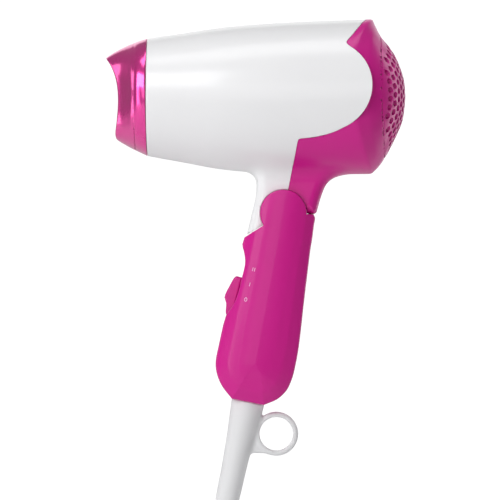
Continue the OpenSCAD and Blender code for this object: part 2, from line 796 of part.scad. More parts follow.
front_housing();
rear_housing();
inlet_grille();
nozzle();
outlet_grille();
heater_sleeve();
heater_frame();
heating_coil();
thermostat();
thermal_fuse();
motor_mount();
motor_can();
motor_end_cap();
motor_magnets();
armature();
motor_shaft();
fan_impeller();
rectifier_board();
rectifier_diodes();
neck_screws();
hinge_barrel();
detent_plunger();
detent_spring();
head_leads();
handle_left();
handle_right();
handle_screws();
switch_housing();
switch_terminals();
switch_carriage();
switch_knob();
suppressor_capacitor();
handle_leads();
cord_stub();
cord_clamp();
clamp_screws();
strain_relief();
power_cord();
cord_hank();
cord_tie();
cord_end();
plug_body();
plug_pins();
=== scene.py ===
"""Looks of the folding hair dryer: shells, nozzle, handle, strain relief and lead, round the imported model.

Shapes are written as fields in millimetres, negative inside and zero on the surface. The head's are measured
from the fold hinge, and the handle's in the handle's own tilted frame, as in the CAD source.
"""

import json
import math

import bpy
import numpy as np
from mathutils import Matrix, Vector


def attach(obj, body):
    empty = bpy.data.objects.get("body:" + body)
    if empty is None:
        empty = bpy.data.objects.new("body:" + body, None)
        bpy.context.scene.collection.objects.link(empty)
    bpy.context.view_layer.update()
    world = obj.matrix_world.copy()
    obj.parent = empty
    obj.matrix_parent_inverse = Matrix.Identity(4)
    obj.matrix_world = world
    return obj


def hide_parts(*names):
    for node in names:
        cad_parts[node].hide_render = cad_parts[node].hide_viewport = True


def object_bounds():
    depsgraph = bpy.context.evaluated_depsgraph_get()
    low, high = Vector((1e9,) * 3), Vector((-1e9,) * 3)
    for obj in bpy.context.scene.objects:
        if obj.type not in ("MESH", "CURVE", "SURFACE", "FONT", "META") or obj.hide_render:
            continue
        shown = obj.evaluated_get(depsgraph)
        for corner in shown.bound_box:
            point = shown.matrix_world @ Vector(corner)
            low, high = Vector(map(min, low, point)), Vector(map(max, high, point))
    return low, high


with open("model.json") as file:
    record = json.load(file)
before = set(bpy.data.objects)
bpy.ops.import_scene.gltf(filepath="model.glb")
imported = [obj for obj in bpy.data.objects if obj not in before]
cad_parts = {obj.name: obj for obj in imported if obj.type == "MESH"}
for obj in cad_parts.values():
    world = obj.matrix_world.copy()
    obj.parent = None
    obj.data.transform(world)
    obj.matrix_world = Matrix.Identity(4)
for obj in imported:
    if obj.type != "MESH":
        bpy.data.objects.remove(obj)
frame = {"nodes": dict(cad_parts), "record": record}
cad_box = [list(corner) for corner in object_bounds()]
record = frame["record"]

MM = 0.001
joints = {j["name"]: j for j in record["behaviour"]["joints"]}
HINGE = np.array(joints["head_fold"]["pos_m"]) / MM
HANDLE_TILT = 10.5
HANDLE_LEN = 99.25
RELIEF_TILT = 12.0
TRACK_LEAN = 4.4
TRACK_DEPTH, TRACK_DROP = 15.1, 47
EAR_R = 12
SWEEP_R = 22.6
WALL = 2.0
AXIS = 60.3
FRONT_X = -70.2
SEAM_GAP = 0.07
COARSE = 1.0


# ---- Camera ----
def add_camera():
    """The photograph's view: level, straight on to the side."""
    data = bpy.data.cameras.new("camera")
    data.sensor_width = 36
    distance = 1.4
    view_width = 0.26
    data.lens = 36 * distance / view_width
    camera = bpy.data.objects.new("camera", data)
    bpy.context.scene.collection.objects.link(camera)
    camera.location = (-0.00805, -distance, 0.0301)
    camera.rotation_euler = (math.radians(90), 0, 0)
    bpy.context.scene.camera = camera


# ---- Materials ----
def add_node(tree, kind, **inputs):
    node = tree.nodes.new(kind)
    for name, value in inputs.items():
        node.inputs[name.replace("_", " ")].default_value = value
    return node


def new_material(name):
    material = bpy.data.materials.new(name)
    material.use_nodes = True
    tree = material.node_tree
    shader = tree.nodes["Principled BSDF"]
    place = tree.nodes.new("ShaderNodeTexCoord")
    return material, tree, shader, place.outputs["Object"]


def add_noise(tree, place, scale, detail=3.0):
    noise = add_node(tree, "ShaderNodeTexNoise", Scale=scale, Detail=detail)
    tree.links.new(place, noise.inputs["Vector"])
    return noise.outputs["Fac"]


def vary(tree, fac, low, high, socket):
    """A number that drifts between low and high."""
    span = tree.nodes.new("ShaderNodeMapRange")
    span.inputs["To Min"].default_value = low
    span.inputs["To Max"].default_value = high
    tree.links.new(fac, span.inputs["Value"])
    tree.links.new(span.outputs["Result"], socket)


def vary_color(tree, fac, color, other, shader):
    ramp = tree.nodes.new("ShaderNodeValToRGB")
    ramp.color_ramp.elements[0].color = (*color, 1)
    ramp.color_ramp.elements[1].color = (*other, 1)
    tree.links.new(fac, ramp.inputs["Fac"])
    tree.links.new(ramp.outputs["Color"], shader.inputs["Base Color"])


def add_bump(tree, height, depth_mm, shader):
    bump = tree.nodes.new("ShaderNodeBump")
    bump.inputs["Strength"].default_value = 1.0
    bump.inputs["Distance"].default_value = depth_mm * MM
    tree.links.new(height, bump.inputs["Height"])
    tree.links.new(bump.outputs["Normal"], shader.inputs["Normal"])


def moulded(name, color, other, rough, grain_mm=0.25, grain_depth=0.006, coat=0.0, coat_rough=0.1,
            metallic=0.0, specular=0.5):
    """Injection-moulded plastic: slow drift of colour and gloss, and a fine surface grain."""
    material, tree, shader, place = new_material(name)
    slow = add_noise(tree, place, 30, 1.0)
    vary_color(tree, slow, color, other, shader)
    vary(tree, slow, rough * 0.95, rough * 1.05, shader.inputs["Roughness"])
    grain = add_noise(tree, place, 1 / (grain_mm * MM), 2.0)
    add_bump(tree, grain, grain_depth, shader)
    shader.inputs["Metallic"].default_value = metallic
    shader.inputs["Specular IOR Level"].default_value = specular
    shader.inputs["Coat Weight"].default_value = coat
    shader.inputs["Coat Roughness"].default_value = coat_rough
    return material


def drawn_metal(name, color, other, rough, across):
    """Metal with fine scratches along one direction."""
    material, tree, shader, place = new_material(name)
    stretch = tree.nodes.new("ShaderNodeMapping")
    stretch.inputs["Scale"].default_value = across
    tree.links.new(place, stretch.inputs["Vector"])
    scratches = add_noise(tree, stretch.outputs["Vector"], 900, 4.0)
    vary_color(tree, scratches, color, other, shader)
    vary(tree, scratches, rough * 0.8, rough * 1.25, shader.inputs["Roughness"])
    add_bump(tree, scratches, 0.004, shader)
    shader.inputs["Metallic"].default_value = 1.0
    return material


def woven(name, color, other):
    """Hook and loop strap: fine diagonal threads."""
    material, tree, shader, place = new_material(name)
    wave = add_node(tree, "ShaderNodeTexWave", Scale=420.0, Distortion=1.2, Detail=2.0)
    wave.bands_direction = "DIAGONAL"
    tree.links.new(place, wave.inputs["Vector"])
    vary_color(tree, wave.outputs["Fac"], color, other, shader)
    add_bump(tree, wave.outputs["Fac"], 0.12, shader)
    shader.inputs["Roughness"].default_value = 0.85
    shader.inputs["Sheen Weight"].default_value = 0.4
    return material


def make_materials():
    return {
        "white_shell": moulded("white_shell", (0.89, 0.89, 0.9), (0.9, 0.9, 0.91), 0.3, coat=0.25),
        "magenta_shell": moulded("magenta_shell", (0.63, 0.01, 0.26), (0.66, 0.012, 0.28), 0.3, coat=0.06,
                                 specular=0.32),
        "magenta_metallic": moulded("magenta_metallic", (0.86, 0.05, 0.34), (0.9, 0.06, 0.38), 0.2,
                                    grain_depth=0.001, coat=0.8, coat_rough=0.05, metallic=0.7),
        "dark_plastic": moulded("dark_plastic", (0.012, 0.011, 0.013), (0.02, 0.019, 0.021), 0.5, 0.18, 0.02),
        "natural_plastic": moulded("natural_plastic", (0.62, 0.59, 0.5), (0.68, 0.65, 0.57), 0.45, 0.3,
                                   0.015),
        "mica": moulded("mica", (0.45, 0.32, 0.16), (0.62, 0.5, 0.3), 0.4, 0.9, 0.05),
        "heating_wire": drawn_metal("heating_wire", (0.36, 0.34, 0.32), (0.5, 0.47, 0.44), 0.35, (1, 6, 6)),
        "steel": drawn_metal("steel", (0.55, 0.55, 0.57), (0.68, 0.68, 0.7), 0.3, (1, 5, 5)),
        "copper": drawn_metal("copper", (0.55, 0.2, 0.08), (0.78, 0.34, 0.16), 0.35, (6, 1, 1)),
        "brass": drawn_metal("brass", (0.62, 0.42, 0.14), (0.76, 0.55, 0.24), 0.3, (1, 5, 1)),
        "nickel": drawn_metal("nickel", (0.66, 0.65, 0.62), (0.76, 0.75, 0.72), 0.16, (4, 4, 1)),
        "board": moulded("board", (0.02, 0.13, 0.05), (0.03, 0.18, 0.07), 0.35, 0.5, 0.02),
        "lead_insulation": moulded("lead_insulation", (0.3, 0.012, 0.01), (0.36, 0.02, 0.015), 0.45, 0.3,
                                   0.01),
        "film_capacitor": moulded("film_capacitor", (0.66, 0.46, 0.05), (0.72, 0.52, 0.08), 0.4, 0.4, 0.02),
        "white_pvc": moulded("white_pvc", (0.78, 0.78, 0.79), (0.82, 0.82, 0.83), 0.42, 0.35, 0.012),
        "tie_strap": woven("tie_strap", (0.012, 0.012, 0.014), (0.04, 0.04, 0.045)),
        "mark": moulded("mark", (0.86, 0.45, 0.72), (0.88, 0.5, 0.75), 0.45),
    }


# ---- Outlines and curves ----
def through(points, steps=6):
    """Smooth run through the points, its own ends included."""
    p = np.array(points, float)
    p = np.vstack([2 * p[0] - p[1], p, 2 * p[-1] - p[-2]])
    out = []
    for a, b, c, d in zip(p, p[1:], p[2:], p[3:]):
        for t in np.arange(steps) / steps:
            out.append(0.5 * (2 * b + (c - a) * t + (2 * a - 5 * b + 4 * c - d) * t ** 2
                              + (3 * b - a - 3 * c + d) * t ** 3))
    out.append(p[-2])
    return [tuple(q) for q in out]


def arc(x, z, r, start, end, steps=24):
    turn = np.radians(np.linspace(start, end, steps + 1))
    return [(x + r * math.cos(a), z + r * math.sin(a)) for a in turn]


def table(points, steps=40):
    """A smooth function through (input, value) points, constant beyond its ends."""
    xs, ys = np.array(through(points, steps)).T
    order = np.argsort(xs)
    return lambda x: np.interp(x, xs[order], ys[order])


def outline(points):
    """Signed distance to a closed side outline, as a function of x and z."""
    start = np.array(points, float)
    end = np.roll(start, -1, axis=0)
    keep = np.hypot(*(end - start).T) > 1e-6
    start, end = start[keep], end[keep]

    def distance(x, z):
        x, z = np.broadcast_arrays(x, z)
        best = np.full(x.shape, np.inf)
        inside = np.zeros(x.shape, bool)
        for (ax, az), (bx, bz) in zip(start, end):
            ex, ez = bx - ax, bz - az
            wx, wz = x - ax, z - az
            t = np.clip((wx * ex + wz * ez) / (ex * ex + ez * ez), 0, 1)
            best = np.minimum(best, (wx - t * ex) ** 2 + (wz - t * ez) ** 2)
            if az != bz:
                inside ^= ((az <= z) != (bz <= z)) & (wx < wz * ex / ez)
        return np.where(inside, -1, 1) * np.sqrt(best)

    return distance


# ---- Fields ----
def union(a, b, blend=0.0):
    if not blend:
        return np.minimum(a, b)
    h = np.clip(0.5 + 0.5 * (b - a) / blend, 0, 1)
    return b + (a - b) * h - blend * h * (1 - h)


def common(a, b, blend=0.0):
    return -union(-a, -b, blend)


def cut(a, b, blend=0.0):
    return common(a, -b, blend)


def thick(side, across, rounding):
    """Side outline thickened to |across| = 0, with rounded edges."""
    p, q = side + rounding, across + rounding
    return np.hypot(np.maximum(p, 0), np.maximum(q, 0)) + np.minimum(np.maximum(p, q), 0) - rounding


def rod_y(x, z, cx, cz, r):
    return np.hypot(x - cx, z - cz) - r


# ---- Surface of a field ----
CORNERS = np.array([(1, -1, -1), (-1, -1, 1), (-1, 1, -1), (1, 1, 1)], float)


def slopes(field, p, reach=0.02):
    """Unit directions in which the field rises."""
    n = sum(k * field(*(p + reach * k).T)[:, None] for k in CORNERS)
    return n / np.maximum(np.linalg.norm(n, axis=1, keepdims=True), 1e-12)


def surface(field, low, high, step):
    """Dual contouring: vertices, quads and corner normals of the field's zero surface, edges kept sharp."""
    low = np.array(low, float)
    step = step * COARSE
    size = np.ceil((np.array(high, float) - low) / step).astype(int) + 1
    axes = [low[i] + step * np.arange(size[i]) for i in range(3)]
    grid = np.empty(size, np.float32)
    for k in range(0, size[0], 16):
        grid[k:k + 16] = field(axes[0][k:k + 16, None, None], axes[1][None, :, None], axes[2][None, None, :])
    inside = grid < 0
    points, normals, cells, quads = [], [], [], []
    stride = np.array([size[1] * size[2], size[2], 1])
    for axis in range(3):
        near = [slice(None)] * 3
        far = [slice(None)] * 3
        near[axis], far[axis] = slice(0, -1), slice(1, None)
        index = np.argwhere(inside[tuple(near)] != inside[tuple(far)])
        if not len(index):
            continue
        one = np.zeros(3, int)
        one[axis] = 1
        f0 = grid[tuple(index.T)].astype(float)
        f1 = grid[tuple((index + one).T)].astype(float)
        p0 = low + step * index
        t0, t1 = np.zeros(len(index)), np.ones(len(index))
        for _ in range(4):
            t = np.clip(t0 + (t1 - t0) * f0 / (f0 - f1), t0 + 0.02 * (t1 - t0), t1 - 0.02 * (t1 - t0))
            f = field(*(p0 + (t * step)[:, None] * one).T)
            left = (f < 0) == (f0 < 0)
            t0, f0 = np.where(left, t, t0), np.where(left, f, f0)
            t1, f1 = np.where(left, t1, t), np.where(left, f1, f)
        t = t0 + (t1 - t0) * f0 / np.where(f0 == f1, 1, f0 - f1)
        p = p0 + (t * step)[:, None] * one
        u, v = np.eye(3, dtype=int)[(axis + 1) % 3], np.eye(3, dtype=int)[(axis + 2) % 3]
        around = np.stack([index @ stride - (index * 0 + s) @ stride for s in (u * 0, u, u + v, v)], axis=1)
        flip = ~inside[tuple(index.T)]
        quads.append(np.where(flip[:, None], around[:, ::-1], around))
        points.append(p)
        normals.append(slopes(field, p))
        cells.append(around)
    points, normals, cells, quads = map(np.concatenate, (points, normals, cells, quads))
    ids, flat = np.unique(cells, return_inverse=True)
    flat = flat.reshape(-1)
    count = len(ids)
    p, n = np.repeat(points, 4, axis=0), np.repeat(normals, 4, axis=0)
    total = np.bincount(flat, minlength=count)

    def gather(values):
        return np.bincount(flat, values, count)

    mass = np.stack([gather(p[:, i]) for i in range(3)], axis=1) / total[:, None]
    lean = (n * (p - mass[flat])).sum(axis=1)
    pull = np.stack([gather(n[:, i] * lean) for i in range(3)], axis=1)
    matrix = np.empty((count, 3, 3))
    for i in range(3):
        for j in range(3):
            matrix[:, i, j] = gather(n[:, i] * n[:, j])
    values, vectors = np.linalg.eigh(matrix)
    strong = values > 0.08 * values[:, 2:]
    along = np.einsum("nij,ni->nj", vectors, pull) * np.where(strong, 1 / np.maximum(values, 1e-9), 0)
    vertices = mass + np.einsum("nij,nj->ni", vectors, along)
    corner = low + step * np.stack(np.unravel_index(ids, size), axis=1)
    vertices = np.clip(vertices, corner, corner + step)
    faces = np.searchsorted(ids, quads)
    crease = strong[:, 1]
    smooth = slopes(field, vertices)
    looks = smooth[faces]
    edged = crease[faces].any(axis=1)
    spots = vertices[faces[edged]]
    centre = spots.mean(axis=1, keepdims=True)
    looks[edged] = slopes(field, (spots + 0.22 * (centre - spots)).reshape(-1, 3), 0.01).reshape(-1, 4, 3)
    return vertices, faces, looks


def turned(angle, shift=(0, 0, 0)):
    """From a frame tilted about Y, its origin moved by shift, to the hinge's level frame."""
    c, s = math.cos(math.radians(angle)), math.sin(math.radians(angle))
    matrix = np.array([[c, 0, s], [0, 1, 0], [-s, 0, c]])
    return lambda p, moved=True: p @ matrix.T + (np.array(shift) if moved else 0)


def add_piece(name, field, low, high, step, body, slot, nodes, to_head=None):
    """Meshes the field, puts it in the part's frame in metres and hangs it on a body."""
    vertices, faces, looks = surface(field, low, high, step)
    if to_head:
        vertices = to_head(vertices)
        looks = to_head(looks.reshape(-1, 3), False).reshape(looks.shape)
    mesh = bpy.data.meshes.new(name)
    mesh.from_pydata(((vertices + HINGE) * MM).tolist(), [], faces.tolist())
    mesh.polygons.foreach_set("use_smooth", np.ones(len(faces), bool))
    mesh.normals_split_custom_set(looks.reshape(-1, 3).tolist())
    piece = bpy.data.objects.new(name, mesh)
    bpy.context.scene.collection.objects.link(piece)
    mesh.materials.append(materials[slot])
    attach(piece, body)
    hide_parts(*nodes)
    return piece


# ---- Head ----
barrel_top = table([(-90, 86.5), (-70.2, 90.7), (-53.6, 93.2), (-32.8, 96.3), (-12, 98.2), (8.8, 99.4),
                    (29.6, 100.2), (46.5, 100.8), (62, 101.4)])
barrel_bottom = table([(-90, 33.6), (-70.2, 29.7), (-53.6, 26.7), (-32.8, 22.9), (-12, 21.0), (8.8, 20.4),
                       (29.6, 20.3), (46.5, 20.4), (62, 20.4)])
rear_side = table([(0, 63.7), (10, 62.55), (20, 58.9), (26, 55.2), (31.4, 50.5), (36, 44.4), (38, 40),
                   (40, 34.5), (41, 31)])
rear_top = table([(0, 63.7), (10, 62.55), (20, 58.9), (26, 55.2), (31.4, 50.8), (36, 48.4), (40, 46.6),
                  (41, 46)])
rear_bottom = table([(0, 63.7), (10, 62.5), (15.9, 60.8), (26.8, 55.6), (33, 52), (36.5, 49.4), (39.9, 45.9),
                     (41, 44.6)])


def barrel(x, y, z, inset=0.0):
    top, bottom = barrel_top(x), barrel_bottom(x)
    return (np.hypot(y, z - (top + bottom) / 2) - (top - bottom) / 2 + inset) * 0.98


def rear_end(x, y, z):
    """The domed back, with its rim drawn out to a tip at the top and the bottom."""
    r = np.hypot(y, z - AXIS)
    rise = (z - AXIS) / np.maximum(r, 1e-6)
    side = rear_side(r)
    face = side + np.maximum(rise, 0) ** 3.5 * (rear_top(r) - side)
    face = face + np.maximum(-rise, 0) ** 1.7 * (rear_bottom(r) - side)
    steep = 1 / np.sqrt(1 + np.interp(r, (0, 20, 31, 36, 40), (0, 0.55, 1.1, 2.0, 3.2)) ** 2)
    return (x - face) * steep


SHOULDER = 210.2
GRILLE_R = 31.5
HOLE_PITCH = 4.4
HOLE_R = 1.62
HOLES_WITHIN = 29.3
neck_side = outline(
    [(-14, AXIS - 22)]
    + through([(-14.0, 24), (-13.9, 17), (-14.0, 12.5), (-14.4, 8), (-15.6, 3)])
    + arc(0, 0, 22, 211, 226, 3)
    + arc(0, 0, EAR_R, 226, 330, 10)
    + [(12.2, -0.5), (16.0, -0.4)]
    + through([(16.9, 0.1), (17.5, 1.2), (19.2, 7.2), (21.0, 12.2), (23.2, 16.4), (26.2, 20.2), (30, 24),
               (33, 30)])
    + [(34, AXIS - 22)])
neck_hollow = outline([(-13, 45), (-13, 17), (-11.9, 12.5), (-12, 3), (-10, -4), (10, -4), (15.2, 2.2),
                       (17, 7.2), (19, 14.3), (22, 20.3), (22, 45)])
seam_side = outline(
    [(110, -30), (110, 125), (47.5, 106), (43.4, 101)]
    + through([(43.4, 101), (39.5, 96.4), (35.8, 91.7), (33.0, 88.4)], 4)
    + through([(32.2, 87.2), (32.1, 86.2), (33.0, 85.2), (34.2, 84.3)], 4)
    + arc(21.3, 64.7, 23.4, 56.6, -67.9, 30)
    + through([(30.1, 43.0), (26.4, 41.2), (21.6, 39.6), (15, 38.2), (8.9, 37.6)], 4)
    + through([(8.4, 37.5), (7.5, 37.0), (7.0, 35.8)], 4)
    + through([(7.0, 35.8), (5.5, 27.5), (2.6, 12.5), (-0.6, -2), (-4, -20)], 4)
    + [(-4.8, -30)])


def neck_field(x, y, z):
    """The solid neck with its shoulder cut away in front, and the distance from the mid plane."""
    y_half = np.abs(y)
    neck = thick(neck_side(x, z), y_half - 12.7, 5.5)
    turn = math.radians(SHOULDER)
    below = math.cos(turn) * z - math.sin(turn) * x
    below = common(common(-below, x), EAR_R - np.hypot(x, z))
    return cut(neck, below), y_half


def neck_cuts(f, x, y, z, y_half):
    f = cut(f, common(rod_y(x, z, 0, 0, 12.35), 11.65 - y_half))
    f = cut(f, common(rod_y(x, z, 0, 0, 6), 5 - y_half))
    return cut(f, common(neck_hollow(x, z), y_half - 9.5))


def screw_bores(f, x, y, z, start):
    bore = np.hypot(np.abs(y) - 6, z - 14)
    f = cut(f, common(bore - 1.35, np.abs(x - 5) - 15))
    return cut(f, common(bore - 2.75, start - x))


def front_field(x, y, z):
    neck, y_half = neck_field(x, y, z)
    shell = union(common(barrel(x, y, z), FRONT_X - x, 0.5), neck, 7)
    axial = np.hypot(y, z - AXIS)
    hollow = union(common(barrel(x, y, z, WALL), FRONT_X + WALL - x), axial - 25.5)
    f = neck_cuts(cut(shell, hollow), x, y, z, y_half)
    f = cut(f, common(np.hypot(y_half - 6, z - 14) - 1.35, -9 - x))
    collar = common(common(axial - 27.3, 25.5 - axial), np.abs(x - FRONT_X + 2) - 4.2)
    f = union(f, collar)
    return common(f, SEAM_GAP - seam_side(x, z))


def rear_field(x, y, z):
    neck, y_half = neck_field(x, y, z)
    outer = barrel(x, y, z)
    back = rear_end(x, y, z)
    shell = union(common(outer, back, 0.6), neck, 7)
    axial = np.hypot(y, z - AXIS)
    hollow = union(common(outer + WALL, back + WALL), common(axial - GRILLE_R - 0.15, 20 - x))
    f = neck_cuts(cut(shell, hollow), x, y, z, y_half)
    f = screw_bores(f, x, y, z, 16.0)
    seam = seam_side(x, z)
    f = common(f, seam + SEAM_GAP)
    step = common(common(outer + WALL + 0.12, -(back + WALL)), common(np.abs(seam - 0.8) - 1.4, 30 - x))
    return union(f, step)


def grille_field(x, y, z):
    """Dome with holes drilled along the barrel, in a hexagonal lattice."""
    axial = np.hypot(y, z - AXIS)
    back = rear_end(x, y, z)
    f = common(common(back, -(back + 1.9)), axial - GRILLE_R)
    skirt = common(common(axial - GRILLE_R, 29.6 - axial), common(44.2 - x, back + 0.5))
    column = HOLE_PITCH * math.sqrt(3)
    v = z - AXIS
    holes = np.inf
    for dy, dz in ((0, 0), (column / 2, HOLE_PITCH / 2)):
        gy = (y - dy) - column * np.round((y - dy) / column)
        gz = (v - dz) - HOLE_PITCH * np.round((v - dz) / HOLE_PITCH)
        cy, cz = y - gy, v - gz
        near = np.hypot(gy, gz) - HOLE_R
        holes = np.minimum(holes, np.where(np.hypot(cy, cz) < HOLES_WITHIN, near, 2.0))
    return union(cut(f, holes), skirt)


# ---- Nozzle ----
nozzle_top = table([(-97, 76.0), (-92.1, 80.7), (-86, 84.6), (-80, 87.5), (-75, 89.4), (-70.4, 90.8),
                    (-66, 91.6)])
nozzle_bottom = table([(-97, 44.6), (-92.1, 41.0), (-86.8, 38.2), (-80, 34.3), (-75, 31.8), (-70.4, 29.7),
                       (-66, 28)])
nozzle_half_w = table([(-97, 6.6), (-92.1, 8.0), (-88, 11.2), (-84, 16.0), (-80.4, 22.0), (-77.8, 26.8),
                       (-75.8, 29.0), (-73.4, 30.0), (-70.4, 30.5), (-66, 31)])
outlet_edge = outline(
    [(-110, 110), (-94.6, 84.5)]
    + through([(-92.4, 80.9), (-89.0, 75.8), (-86.6, 69.6), (-85.4, 62.5), (-85.3, 55), (-86.0, 47),
               (-86.9, 41.4), (-86.6, 38.4), (-85.2, 36.9)])
    + [(-80, 30), (-110, 10)])


def nozzle_form(x, y, z, inset):
    top, bottom, half_w = nozzle_top(x), nozzle_bottom(x), nozzle_half_w(x) - inset
    half_h = (top - bottom) / 2 - inset
    w, h = np.abs(y), np.abs(z - (top + bottom) / 2)
    corner = np.minimum(half_w, half_h)
    p, q = w - (half_w - corner), h - (half_h - corner)
    return (np.hypot(np.maximum(p, 0), np.maximum(q, 0)) + np.minimum(np.maximum(p, q), 0) - corner) * 0.85


def nozzle_field(x, y, z):
    axial = np.hypot(y, z - AXIS)
    f = cut(nozzle_form(x, y, z, 0), common(nozzle_form(x - 2.2, y, z, 1.3), axial - 27.6))
    f = cut(f, common(axial - 27.6, -76.5 - x))
    f = common(f, x + 70.45, 0.5)
    return common(f, -outlet_edge(x, z), 0.7)


# ---- Handle, in its own frame ----
FOOT_Z = -80.45
SECTION = through([(-8.6, -99.2), (-14.9, -93.5), (-18.7, -87.6), (-20.4, -81.3), (-20.3, -72),
                   (-20.0, -62.5), (-19.8, -57)])
REAR_SIDE = through([(16.8, -3.5), (17.2, -10.7), (17.3, -16.2), (18.0, -28), (18.9, -42.3), (19.9, -56),
                     (20.6, -68.4), (20.5, -79), (19.9, -84.4), (18.3, -90), (14.4, -95.2), (8.3, -99.3)])
handle_side = outline(
    [(0, 0)]
    + [(12.5 * math.cos(math.radians(222.5)), 12.5 * math.sin(math.radians(222.5))),
       (-17.5, -16.1), (-17.85, -19.6)]
    + through([(-17.5, -21.0), (-16.4, -23.2), (-15.1, -26.8), (-14.6, -30.4), (-14.9, -36.6), (-15.3, -44),
               (-16.6, -51), (-19.2, -56.6), (-20.0, -62.5)])[1:]
    + [p for p in SECTION[::-1] if p[1] < -62.6]
    + REAR_SIDE[::-1]
    + [(16.75, 0.5), (15.6, 2.15), (12.6, 1.75)])
guide_side = outline(
    [(-17.3, 40), (-17.4, 10), (-17.8, -19.9), (-18.6, -38), (-19.6, -54)]
    + SECTION[::-1] + REAR_SIDE[::-1] + [(16.6, 10), (16.4, 40)])
band_width = table([(-105, 6.4), (-99, 6.0), (-77, 6.8), (-60, 6.3), (-35, 5.6), (-15, 5.1), (5, 4.9),
                    (40, 4.9)])
side_reach = table([(-1, 8.8), (0, 9.6), (0.6, 10.4), (1.6, 11.3), (3.7, 12.85), (5.2, 13.85), (6.8, 14.55),
                    (8.4, 15.15), (10, 15.7), (13, 16.35), (17, 16.7), (22, 16.75)], 12)


def handle_outer(x, y_half, z):
    """Convex sides that end in a sloping band, which follows the outline at the front, foot and back."""
    inward = -guide_side(x, z) * 5.2 / band_width(z)
    reach = side_reach(inward)
    side = union(handle_side(x, z), np.hypot(x, z) - EAR_R)
    return common((y_half - reach) * 0.8, side, 0.5)


hollow_side = outline(
    [(-12.8, -18), (-12.8, -31), (-13.4, -45), (-15.2, -58), (-17.7, -64), (-18.2, -80.45)]
    + arc(0, FOOT_Z, 18.3, 180, 360, 20)
    + [(18.2, -69), (16.7, -42.3), (15, -16.2), (15, -10), (14.9, 0)]
    + arc(0, 0, SWEEP_R, 49, 160, 16) + [(-21, -8)])


def handle_field(x, y, z):
    y_half = np.abs(y)
    f = handle_outer(x, y_half, z)
    sweep = np.hypot(x, z) - SWEEP_R
    inner = common(hollow_side(x, z), y_half - 14.1)
    inner = common(inner, f + 2.2)
    tongue = common(thick(sweep + 0.3, y_half - 13.0, 5.5), x - 8)
    tongue = union(tongue, common(np.hypot(x, z) - 12.5, y_half - 12.5))
    ear = np.hypot(x, z) - EAR_R
    tongue = cut(tongue, common(ear, 12 - y_half))
    inner = cut(inner, common(ear, 12 - y_half))
    f = cut(cut(f, inner), tongue)
    f = cut(f, common(np.hypot(x, z) - 6.06, y_half - 15))
    f = cut(f, common(np.hypot(x, y) - 6, -96.5 - z))
    c, s = math.cos(math.radians(TRACK_LEAN)), math.sin(math.radians(TRACK_LEAN))
    dx, dz = x + TRACK_DEPTH, z + TRACK_DROP
    tx, tz = dx * c - dz * s, dx * s + dz * c
    channel = common(common(tx, -12 - tx), common(y_half - 5.85, np.abs(tz - 8) - 18.65))
    slot = common(common(tx - 2.6, -1 - tx), common(y_half - 2.25, np.abs(tz - 8) - 12.35))
    return cut(cut(f, channel, 0.25), slot)


def left_field(x, y, z):
    return common(handle_field(x, y, z), y + 0.05)


def right_field(x, y, z):
    f = common(handle_field(x, y, z), 0.05 - y)
    for sx, sz in ((11, -34), (12.5, -76), (-13, -80)):
        f = cut(f, common(np.hypot(x - sx, z - sz) - 2.7, 4 - y))
    return f


# ---- Switch knob, in the track's frame ----
knob_side = outline(
    [(-0.35, -10.3), (-2.6, -10.3)]
    + through([(-3.7, -10.2), (-4.3, -8.6), (-5.0, -5.0), (-6.2, -2.9), (-6.7, -2.1)], 4)
    + through([(-6.7, -2.1), (-6.75, -0.4), (-6.5, 1.3), (-6.0, 3.4), (-5.0, 7.6), (-4.6, 8.8),
               (-3.9, 10.0)], 4)
    + [(-3.4, 10.3), (-0.35, 10.3)])


def knob_field(x, y, z):
    f = thick(knob_side(x, z), np.abs(y) - 5.5 + 0.1 * (-x), 1.1)
    ribs = 0.35 * np.cos(np.clip(z + 0.6, -4.2, 4.2) * 2 * math.pi / 2.1)
    face = common(np.abs(z + 0.6) - 4.2, x + 4.6)
    return np.where((face < 0) & (np.abs(y) < 4), f + np.maximum(ribs, 0) * 0.9, f)


# ---- Strain relief, in its own frame ----
relief_r = table([(-66, 5.2), (-60, 5.4), (-50, 6.2), (-36, 6.5), (-26, 6.9), (-16, 7.5), (-6, 8.3), (0, 8.6),
                  (6, 8.6)])
RING_X, RING_Z = 17.8, -13.6
web_side = outline([(-2, -6.6), (7.0, -5.2), (11, -8.2), (RING_X - 4.5, RING_Z + 9.6),
                    (RING_X + 1, RING_Z - 10.4), (12.6, -25.0), (6.6, -26.2), (-2, -28)])


def relief_field(x, y, z):
    axial = np.hypot(x, y)
    f = common(axial - relief_r(z), np.abs(z + 30) - 30, 0.8)
    y_half = np.abs(y)
    ring = thick(np.hypot(x - RING_X, z - RING_Z) - 11.4, y_half - 2.2, 1.5)
    web = thick(web_side(x, z), y_half - 2.2, 1.4)
    f = union(f, union(ring, web, 0.8), 2.0)
    hole = np.hypot(x - RING_X, z - RING_Z) - 8.7
    f = cut(f, hole, 1.0)
    return union(f, common(axial - 5.6, np.abs(z - 1.4) - 2.0))


# ---- Lead ----
CORD_R = 3.5
HANK_X, HANK_TOP, HANK_RUN, TURN_R, LAYER = -6.5, -198.0, 92.0, 21.5, 7.3


